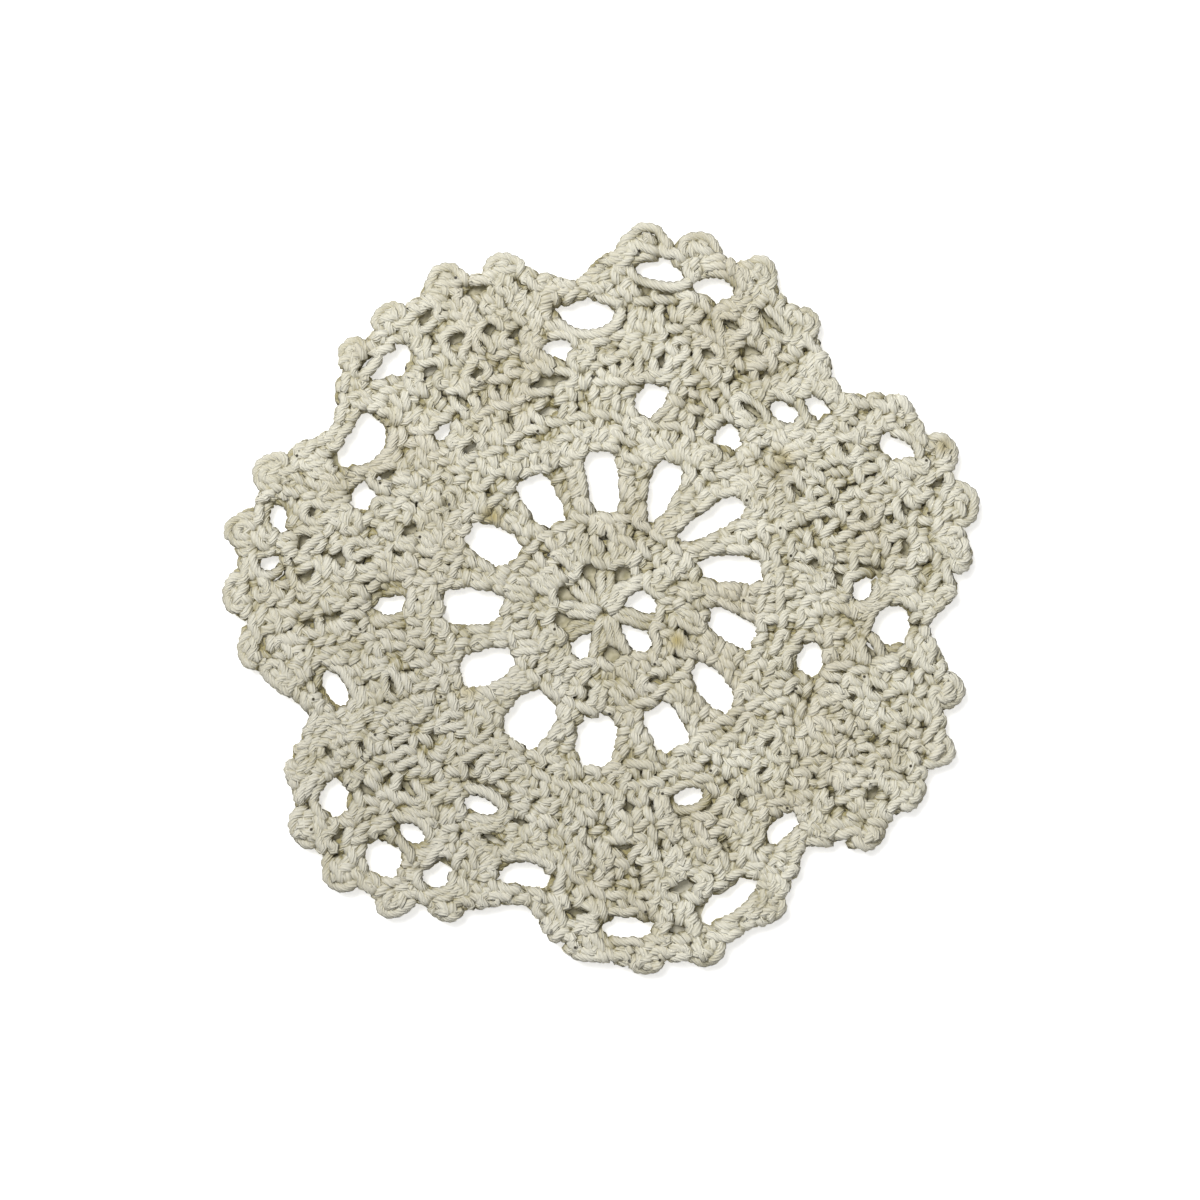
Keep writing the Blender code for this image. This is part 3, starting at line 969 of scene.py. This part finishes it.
def ply_outline():
    """A closed curve of five lobes, used as the yarn's cross-section."""
    outline = bpy.data.curves.new("ply_outline", "CURVE")
    outline.dimensions = "2D"
    line = outline.splines.new("POLY")
    line.points.add(AROUND - 1)
    spots = []
    for i in range(AROUND):
        angle = math.tau * i / AROUND
        radius = HALF_YARN * MM * PLY_RADII[i % len(PLY_RADII)]
        spots += [radius * math.cos(angle), radius * math.sin(angle), 0, 1]
    line.points.foreach_set("co", spots)
    line.use_cyclic_u = True
    return placed("ply_outline", outline)


print("the yarn's outline has", AROUND, "corners for", PLIES, "plies")

# %% [markdown]
# The yarn's mesh. The outline becomes the curve's bevel object, and Blender carries it along the
# route. Minimum twist keeps it from spinning by itself, so the tilt alone turns the plies. The mesh
# is taken from the curve at once, because the finish needs marks on its points.

# %% Carry the outline along each yarn
TWIST_LENGTH = 11.0
FINE_STEP = 0.9
THICKNESS_SWING, SWING_EVERY = 0.07, 9
SWELL = 0.11


def yarn_mesh(name, points, outline):
    """A strand's mesh: the outline carried along the points, with a growing tilt."""
    points = smooth_through(points, FINE_STEP)
    count = len(points)
    spots = np.ones((count, 4))
    spots[:, :2] = (points[:, :2] + CENTRE) * MM
    spots[:, 2] = points[:, 2] * MM
    at = np.arange(count) * FINE_STEP
    marks = np.arange(0, at[-1] + SWING_EVERY, SWING_EVERY)
    thickness = 1 + np.interp(at, marks, chance.normal(size=len(marks))) * THICKNESS_SWING
    thickness += np.clip((points[:, 2] - MAT_MIDDLE) / HALF_LIFT, -1, 1) * SWELL
    curve = bpy.data.curves.new(name, "CURVE")
    curve.dimensions = "3D"
    curve.twist_mode = "MINIMUM"
    curve.bevel_mode = "OBJECT"
    curve.bevel_object = outline
    curve.use_fill_caps = True
    line = curve.splines.new("POLY")
    line.points.add(count - 1)
    line.points.foreach_set("co", spots.ravel())
    line.points.foreach_set("tilt", at * math.tau / TWIST_LENGTH)
    line.points.foreach_set("radius", thickness)
    carried = placed(name + "_curve", curve)
    bpy.context.view_layer.update()
    graph = bpy.context.evaluated_depsgraph_get()
    mesh = bpy.data.meshes.new_from_object(carried.evaluated_get(graph))
    bpy.data.objects.remove(carried)
    mesh.shade_smooth()
    return mesh


outline = ply_outline()
pieces = []
for name in names:
    mesh = yarn_mesh("yarn_" + name, strands[name], outline)
    pieces.append(placed("yarn_" + name, mesh))
    print("yarn_" + name, "has", len(mesh.polygons), "faces")
bpy.data.objects.remove(outline)

# %% [markdown]
# Marks for the finish. The furrow between two plies, which the finish darkens with painted shade, runs
# on every second corner of the outline, so it can be marked by counting. The fibres need to know how far
# along the yarn and how far round it they are. Each piece's own map says so, in steps of ten
# millimetres.

# %% Mark the furrows, and the way along and round the yarn
MAP_UNIT = 10


def read(items, key):
    """One whole number for each item of a mesh."""
    values = np.empty(len(items), int)
    items.foreach_get(key, values)
    return values


def mark_plies(mesh):
    """Gives each corner its place along and round the yarn, and each point its furrow."""
    index = np.arange(len(mesh.vertices))
    furrow = mesh.attributes.new("furrow", "FLOAT", "POINT")
    furrow.data.foreach_set("value", (index % AROUND % len(PLY_RADII) == 0).astype(float))
    loop = read(mesh.loops, "vertex_index")
    start = read(mesh.polygons, "loop_start")
    total = read(mesh.polygons, "loop_total")
    face = np.repeat(np.arange(len(start)), total)
    around = loop % AROUND
    seam = np.maximum.reduceat(around, start) - np.minimum.reduceat(around, start) > AROUND / 2
    around = np.where(seam[face] & (around < AROUND / 2), around + AROUND, around)
    unwrapped = np.stack([loop // AROUND * FINE_STEP, around / AROUND * math.pi * YARN], axis=1)
    layer = mesh.uv_layers[0] if mesh.uv_layers else mesh.uv_layers.new(name="yarn")
    layer.name = "yarn"
    layer.data.foreach_set("uv", (unwrapped / MAP_UNIT).ravel())


for piece in pieces:
    mark_plies(piece.data)
print("marked", sum(len(piece.data.vertices) for piece in pieces), "points")

# %% [markdown]
# The painted shade between the strands. In the photo the crevices are much darker than the tops, because
# light is lost between soft fibres, more than a smooth surface would lose. So each point is given its
# depth below the strands round it, on a grid of half-millimetre cells: once near by, for the seam
# between two strands, and once farther off, for the hollow between stitches. The finish paints shade
# into the colour by this depth. Near a gap there are fewer strands to hide in, so the depth counts less
# there.

# %% Mark how deep each point lies
CELL = 0.5
CREVICE_FROM = -1.2
CLOSED_GAIN, CLOSED_FROM = 1.6, 0.5
CreviceScale = namedtuple("CreviceScale", "reach deepest weight")
CREVICE_SCALES = (CreviceScale(3, 1.5, 0.35), CreviceScale(9, 2.0, 0.95))


def box_sum(grid, reach):
    """The sum over the square of cells within reach of each cell."""
    total = np.pad(grid, ((reach + 1, reach), (reach + 1, reach))).cumsum(axis=0).cumsum(axis=1)
    wide = 2 * reach + 1
    return total[wide:, wide:] - total[:-wide, wide:] - total[wide:, :-wide] + total[:-wide, :-wide]


def mark_crevices(meshes):
    """Gives each point its depth below the strands round it, near by and farther off."""
    spots = []
    for mesh in meshes:
        flat = np.empty(len(mesh.vertices) * 3)
        mesh.vertices.foreach_get("co", flat)
        spots.append(flat.reshape(-1, 3) / MM)
    every = np.concatenate(spots)
    corner = every[:, :2].min(axis=0)
    shape = tuple(((every[:, :2].max(axis=0) - corner) / CELL).astype(int) + 1)
    top = np.zeros(shape)
    cell = ((every[:, :2] - corner) / CELL).astype(int)
    np.maximum.at(top, (cell[:, 0], cell[:, 1]), every[:, 2])
    filled = (top > 0).astype(float)
    levels = []
    for scale in CREVICE_SCALES:
        count = box_sum(filled, scale.reach)
        level = box_sum(top, scale.reach) / np.maximum(count, 1)
        closed = np.clip(CLOSED_GAIN * count / (2 * scale.reach + 1) ** 2 - CLOSED_FROM, 0, 1)
        levels.append((level, closed * scale.weight, scale.deepest))
    for mesh, spot in zip(meshes, spots):
        cell = ((spot[:, :2] - corner) / CELL).astype(int)
        cell = (cell[:, 0], cell[:, 1])
        depth = np.zeros(len(spot))
        for level, weight, deepest in levels:
            below = level[cell] - spot[:, 2] - CREVICE_FROM
            depth += weight[cell] * np.clip(below / (deepest - CREVICE_FROM), 0, 1)
        # The depth is kept as a mark on the points: the mask of the painted shade in the crevices.
        crevice = mesh.attributes.new("crevice", "FLOAT", "POINT")
        crevice.data.foreach_set("value", depth)
    return shape


grid = mark_crevices([piece.data for piece in pieces])
print("depths measured on a grid of", grid[0], "by", grid[1], "cells")

# %% [markdown]
# A finish is a net of small nodes. Sums are easier to read as sums, so a node's output is wrapped
# here, and the plain signs between two of them build the Math nodes.

# %% Shader maths as Python
class Socket:
    """Wraps a node's output, so that + - * build Math nodes."""

    def __init__(self, tree, output):
        self.tree, self.output = tree, output

    def maths(self, operation, other, reflected=False):
        node = self.tree.nodes.new("ShaderNodeMath")
        node.operation = operation
        values = (other, self) if reflected else (self, other)
        for slot, value in zip(node.inputs, values):
            connect(self.tree, slot, value)
        return Socket(self.tree, node.outputs[0])

    def __add__(self, other):
        return self.maths("ADD", other)

    __radd__ = __add__

    def __sub__(self, other):
        return self.maths("SUBTRACT", other)

    def __rsub__(self, other):
        return self.maths("SUBTRACT", other, reflected=True)

    def __mul__(self, other):
        return self.maths("MULTIPLY", other)

    __rmul__ = __mul__


def connect(tree, slot, value):
    """Links a wrapped output to an input, or sets a plain value on it."""
    if isinstance(value, Socket):
        tree.links.new(value.output, slot)
    else:
        slot.default_value = value


class Shader:
    """A new material, with one method that adds any node."""

    def __init__(self, name):
        self.material = bpy.data.materials.new(name)
        self.material.use_nodes = True
        self.tree = self.material.node_tree
        self.surface = self.tree.nodes["Principled BSDF"]

    def add(self, kind, settings, output=0, **values):
        """Any node: its settings, which output is wanted, and its inputs by name or by _number."""
        node = self.tree.nodes.new("ShaderNode" + kind)
        for key, value in settings.items():
            setattr(node, key, value)
        for key, value in values.items():
            place = int(key[1:]) if key[1:].isdigit() else key.replace("_", " ")
            connect(self.tree, node.inputs[place], value)
        return Socket(self.tree, node.outputs[output])

    def mix(self, factor, first, second):
        """The first colour where the factor is 0, the second where it is 1."""
        return self.add("Mix", {"data_type": "RGBA"}, 2, _0=factor, _6=first, _7=second)

    def finish(self, **values):
        """Sets the surface's own inputs."""
        for key, value in values.items():
            connect(self.tree, self.surface.inputs[key.replace("_", " ")], value)


def between(shader, value, start, end):
    """0 before start and 1 after end, with a soft step between them. Start may be the larger."""
    soft = {"interpolation_type": "SMOOTHSTEP"}
    if start < end:
        return shader.add("MapRange", soft, Value=value, From_Min=start, From_Max=end)
    return 1 - shader.add("MapRange", soft, Value=value, From_Min=end, From_Max=start)


print("shader maths ready: + - * between sockets")

# %% [markdown]
# Cotton. The yarn is undyed, a warm off-white, and the shade painted into its furrows is greyer and
# greener. The real mat has been used: there are five yellow-brown stains and a few dark flecks on it.
# The side towards the lower left is also a little darker all over. They are laid on in soft round spots.

# %% Colours, stains and the dim side
CREAM = (0.775, 0.75, 0.635, 1)
DIM_CREAM = (0.64, 0.615, 0.52, 1)
WARM_CREAM = (0.60, 0.55, 0.42, 1)
# The colour of the painted shade in furrows, crevices and low places.
PAINTED_SHADE_CREAM = (0.35, 0.305, 0.145, 1)
STAIN_BROWN = (0.44, 0.35, 0.11, 1)
FLECK_BROWN = (0.06, 0.05, 0.03, 1)
# A soft round spot: a real stain, the darker side, or a spot of painted light on the hidden layer.
StainOrLightSpot = namedtuple("StainOrLightSpot", "x y radius strength")
STAINS = (
    StainOrLightSpot(-29.1, 21.7, 4.6, 1.0),
    StainOrLightSpot(20.0, -11.1, 3.8, 0.85),
    StainOrLightSpot(-35.2, -23.9, 5.0, 0.5),
    StainOrLightSpot(90.9, 40.4, 3.6, 0.6),
    StainOrLightSpot(48.5, 37.2, 4.6, 0.5),
)
DIM_SIDE = (StainOrLightSpot(-55.0, -40.0, 110.0, 0.85),)
TOP_OF_STRANDS = MAT_MIDDLE + HALF_LIFT + HALF_YARN


def spotted(shader, place, colour, spots, tint):
    """Lays a soft round spot of the tint over each of these places."""
    for spot in spots:
        centre = (spot.x * MM, spot.y * MM, TOP_OF_STRANDS * MM)
        away = shader.add("VectorMath", {"operation": "DISTANCE"}, 1, _0=place, _1=centre)
        amount = between(shader, away, spot.radius * MM, 0.0) * spot.strength
        colour = shader.mix(amount, colour, tint)
    return colour


print(len(STAINS), "stains, the largest", max(stain.radius for stain in STAINS), "mm from its middle")

# %% [markdown]
# What the yarn looks like close up. Fibres run along it, and ten fine lines show the threads of its
# plies, as bumps and as faint painted shade. Where it lies deep, in a furrow or a crevice, or low in the
# mat, painted shade turns the cream to a brownish green, and random lumps of painted shade stand for
# relief that isn't modelled. Cotton is matt, with a faint sheen from loose fibres, and its bumps are
# only tenths of a millimetre high.

# %% The cotton yarn's finish
FINE_LINES = 10
FIBRE_STRETCH = (0.3, 2.6, 1)
FIBRE_SCALE, TONE_SCALE, LUMP_SCALE, FLECK_SCALE = 9.0, 45.0, 130.0, 42.0
LINE_WANDER = 0.05
TONE_FROM, TONE_TO, TONE_SHARE = 0.45, 0.7, 0.5
DEEP_FROM, DEEP_TO = 6.3, 2.2
FURROW_SHADE, CREVICE_SHADE, DEEP_SHADE = 0.15, 1.25, 0.42
FIBRE_SHADE, LINE_SHADE, LUMP_SHADE = 0.55, 0.05, 0.8
FLECK_EDGE, FLECK_CORE = 0.022, 0.012
LINE_DEPTH = 0.25


def yarn_shade(shader, place, fibre, lines):
    """How far painted shade turns the cream to its shade colour, plus the fibres' own streaks."""
    furrow = shader.add("Attribute", {"attribute_name": "furrow"}, output=2)
    crevice = shader.add("Attribute", {"attribute_name": "crevice"}, output=2)
    height = shader.add("SeparateXYZ", {}, output=2, Vector=place)
    lumps = shader.add("TexNoise", {}, Vector=place, Scale=LUMP_SCALE, Detail=1.0)
    # Painted shade: the lower a point lies in the mat, the darker it is made.
    deep = between(shader, height, DEEP_FROM * MM, DEEP_TO * MM)
    shade = furrow * FURROW_SHADE + crevice * CREVICE_SHADE + deep * DEEP_SHADE
    return shade + (fibre - 0.5) * FIBRE_SHADE + lines * LINE_SHADE + (lumps - 0.5) * LUMP_SHADE


def cotton_yarn():
    shader = Shader("cotton_yarn")
    place = shader.add("TexCoord", {}, output=3)
    unwrapped = shader.add("UVMap", {"uv_map": "yarn"})
    stretched = shader.add("Mapping", {}, Vector=unwrapped, Scale=FIBRE_STRETCH)
    fibre = shader.add("TexNoise", {}, Vector=stretched, Scale=FIBRE_SCALE, Detail=3.0)
    around = shader.add("SeparateXYZ", {}, 1, Vector=unwrapped)
    turns = around * (MAP_UNIT / (math.pi * YARN)) + (fibre - 0.5) * LINE_WANDER
    lines = shader.add("Math", {"operation": "SINE"}, _0=turns * (math.tau * FINE_LINES))
    tone = shader.add("TexNoise", {}, Vector=place, Scale=TONE_SCALE, Detail=2.0)
    colour = shader.mix(between(shader, tone, TONE_FROM, TONE_TO) * TONE_SHARE, CREAM, WARM_CREAM)
    colour = spotted(shader, place, colour, DIM_SIDE, DIM_CREAM)
    colour = spotted(shader, place, colour, STAINS, STAIN_BROWN)
    # Painted shade: furrows, crevices, low places, fine lines and lumps are mixed towards the shade
    # colour.
    colour = shader.mix(yarn_shade(shader, place, fibre, lines), colour, PAINTED_SHADE_CREAM)
    flat = {"voronoi_dimensions": "2D"}
    cells = shader.add("TexVoronoi", flat, Vector=place, Scale=FLECK_SCALE)
    colour = shader.mix(between(shader, cells, FLECK_EDGE, FLECK_CORE), colour, FLECK_BROWN)
    rough = fibre - lines * LINE_DEPTH
    bump = shader.add("Bump", {}, Strength=0.8, Distance=0.0004, Height=rough)
    shader.finish(Base_Color=colour, Normal=bump, Roughness=0.92, Sheen_Weight=0.2)
    shader.finish(Sheen_Roughness=0.6, Specular_IOR_Level=0.12)
    return shader.material


yarn_finish = cotton_yarn()
for piece in pieces:
    piece.data.materials.clear()
    piece.data.materials.append(yarn_finish)
    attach(piece, "root")
    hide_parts("crochet_mat")
print(yarn_finish.name, "has", len(yarn_finish.node_tree.nodes), "nodes")

# %% [markdown]
# The heart of the mat: the hidden inner layer, a thin sheet in the middle of the yarn. Between the
# strands of real crochet the eye meets more yarn, never daylight. Under the closed gaps and the hollows
# it also stands in for shade, as a sheet painted dark. The sheet has the mat's outline, drawn in a
# little so that it stays under the edging.

# %% The inner layer's sheet
SHEET_LOW, SHEET_HIGH = 1.6, 2.4
SHEET_IN = 3.0
SHEET_STEP_DEG = 1.5


def turn_of(x, y):
    return math.atan2(y, x) % math.tau


def corners_of(form, count):
    """A new flat face, as its corners in order of their turn."""
    made = bmesh.ops.create_circle(form, cap_ends=True, segments=count, radius=1)
    return sorted(made["verts"], key=lambda vertex: turn_of(vertex.co.x, vertex.co.y))


def raised(form, faces, height):
    """Draws these faces up to a height."""
    made = bmesh.ops.extrude_face_region(form, geom=faces)["geom"]
    for vertex in (item for item in made if isinstance(item, bmesh.types.BMVert)):
        vertex.co.z = height * MM


def linked(name, form):
    """A new object of the scene from a modelled form."""
    mesh = bpy.data.meshes.new(name)
    form.to_mesh(mesh)
    form.free()
    return placed(name, mesh)


def inner_layer():
    form = bmesh.new()
    around = np.arange(0, 360, SHEET_STEP_DEG)
    radii = all_round(around, OUTLINE) - SHEET_IN
    for vertex, deg, radius in zip(corners_of(form, len(around)), around, radii):
        spot = (polar(deg, radius) + CENTRE) * MM
        vertex.co = Vector((spot[0], spot[1], SHEET_LOW * MM))
    raised(form, list(form.faces), SHEET_HIGH)
    bmesh.ops.recalc_face_normals(form, faces=form.faces)
    return form


layer = linked("inner_layer", inner_layer())
print("the sheet starts with", len(layer.data.polygons), "faces")

# %% [markdown]
# The gaps go through the sheet too, a little wider than in the yarn, so that its cut edge is hidden
# under the strands. Each gap is cut by an upright prism. The sheet's area is taken as one of its two
# sides.

# %% Cut the gaps out of the inner layer
SHEET_BACK = 3.1
PRISM_LOW, PRISM_HIGH = -1.0, 2 * MAT_MIDDLE


def gap_prisms():
    form = bmesh.new()
    for gap in openings:
        away = gap.outline - gap.middle
        wide = gap.middle + away * (1 + SHEET_BACK / np.linalg.norm(away, axis=1))[:, None]
        ring = corners_of(form, len(wide))
        turned = sorted(wide - gap.middle, key=lambda spot: turn_of(spot[0], spot[1]))
        for vertex, spot in zip(ring, turned):
            spot = (spot + gap.middle + CENTRE) * MM
            vertex.co = Vector((spot[0], spot[1], PRISM_LOW * MM))
        raised(form, [ring[0].link_faces[0]], PRISM_HIGH)
    bmesh.ops.recalc_face_normals(form, faces=form.faces)
    return form


prisms = linked("gap_prisms", gap_prisms())
cut = layer.modifiers.new("gaps", "BOOLEAN")
cut.object = prisms
cut.solver = "EXACT"
cut.use_self = True
bpy.context.view_layer.update()
graph = bpy.context.evaluated_depsgraph_get()
cut_mesh = bpy.data.meshes.new_from_object(layer.evaluated_get(graph))
layer.modifiers.clear()
layer.data = cut_mesh
bpy.data.objects.remove(prisms)
sheet_area = 0.5 * sum(face.area for face in layer.data.polygons)
print("inner layer", round(sheet_area, 5), "square metres")

# %% [markdown]
# The sheet's finish is the cotton of deeper strands: darker with painted shade, and lumpy where the
# strands would be.
# Round the closed gaps that look pale in the photo it is as light as the yarn.

# %% The inner layer's finish
# Two depths of painted shade on the hidden cotton, blended at random.
HIDDEN_DEEP_SHADE = (0.39, 0.36, 0.23, 1)
HIDDEN_LIGHT_SHADE = (0.55, 0.51, 0.37, 1)
HIDDEN_SCALE, HIDDEN_FROM, HIDDEN_TO = 420.0, 0.35, 0.65
PALE_REACH = 12.0


# A spot of painted light round a pale closed gap, where the sheet is made as light as the yarn.
def painted_light_spot(gap):
    x, y = polar(gap.deg, gap.radius) + CENTRE
    return StainOrLightSpot(x, y, PALE_REACH, 1.0)


def hidden_cotton():
    """The cotton between the strands, darker with painted shade, with a coarse bump in place of strands.
    """
    shader = Shader("hidden_cotton")
    place = shader.add("TexCoord", {}, output=3)
    lumps = shader.add("TexNoise", {}, Vector=place, Scale=HIDDEN_SCALE, Detail=1.0)
    amount = between(shader, lumps, HIDDEN_FROM, HIDDEN_TO)
    colour = shader.mix(amount, HIDDEN_DEEP_SHADE, HIDDEN_LIGHT_SHADE)
    # Painted light: round the pale closed gaps the sheet is as light as the yarn.
    spots = [painted_light_spot(gap) for gap in closed_gaps if gap.deg in PALE_DEGS]
    colour = spotted(shader, place, colour, spots, CREAM)
    bump = shader.add("Bump", {}, Strength=1.0, Distance=0.0012, Height=lumps)
    shader.finish(Base_Color=colour, Normal=bump, Roughness=0.95, Specular_IOR_Level=0.1)
    return shader.material


layer.data.materials.clear()
layer.data.materials.append(hidden_cotton())
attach(layer, "root")
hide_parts("crochet_mat")
print("the layer's finish has", len(layer.data.materials[0].node_tree.nodes), "nodes")

# %% [markdown]
# The table. In the photo the ground is plain white with no edge or shadow in sight, so it is one
# large pale square, with a glow of its own that hides most of the mat's shadow.

# %% Floor
FLOOR_REACH = 3
FLOOR_GREY = (0.93, 0.93, 0.93, 1)
FLOOR_GLOW = 0.50
form = bmesh.new()
bmesh.ops.create_grid(form, x_segments=1, y_segments=1, size=FLOOR_REACH)
floor = linked("floor", form)
floor_finish = Shader("floor")
floor_finish.finish(Base_Color=FLOOR_GREY, Roughness=0.9)
floor_finish.finish(Emission_Color=(1, 1, 1, 1), Emission_Strength=FLOOR_GLOW)
floor.data.materials.append(floor_finish.material)
print("the floor reaches", FLOOR_REACH, "m each way")

# %% [markdown]
# The light. The photo is lit softly, and no strand throws a hard shadow. Here a large window at the
# upper left gives the strands their shape, and a weak lamp above and an even sky fill the shadows.

# %% Light
Lamp = namedtuple("Lamp", "name place size power")
LAMPS = (
    Lamp("window", (-0.5, 0.65, 1.4), 0.8, 25),
    Lamp("ceiling", (0.1, -0.1, 1.9), 1.0, 7),
)
SKY_STRENGTH = 0.15
for lamp in LAMPS:
    light = bpy.data.lights.new(lamp.name, "AREA")
    light.size, light.energy = lamp.size, lamp.power
    made = placed(lamp.name, light)
    made.location = lamp.place
    made.rotation_euler = (-Vector(lamp.place)).to_track_quat("-Z", "Y").to_euler()
world = bpy.data.worlds.new("world")
world.use_nodes = True
world.node_tree.nodes["Background"].inputs["Color"].default_value = (1, 1, 1, 1)
world.node_tree.nodes["Background"].inputs["Strength"].default_value = SKY_STRENGTH
bpy.context.scene.world = world
bpy.context.scene.view_settings.view_transform = "Standard"
print(len(LAMPS), "lamps and a sky of", SKY_STRENGTH)

# %% [markdown]
# The camera stands straight above the mat, as in the photograph, a hair off the middle.

# %% Camera
FRAME_WIDTH, CAMERA_HEIGHT = 0.32, 1.2
CAMERA_X, CAMERA_Y = -0.00027, -0.0004
lens = bpy.data.cameras.new("camera")
lens.sensor_width = 36
lens.lens = lens.sensor_width * CAMERA_HEIGHT / FRAME_WIDTH
camera = placed("camera", lens)
camera.location = (CAMERA_X, CAMERA_Y, CAMERA_HEIGHT)
bpy.context.scene.camera = camera
print("a lens of", round(lens.lens), "mm sees", FRAME_WIDTH, "m across")
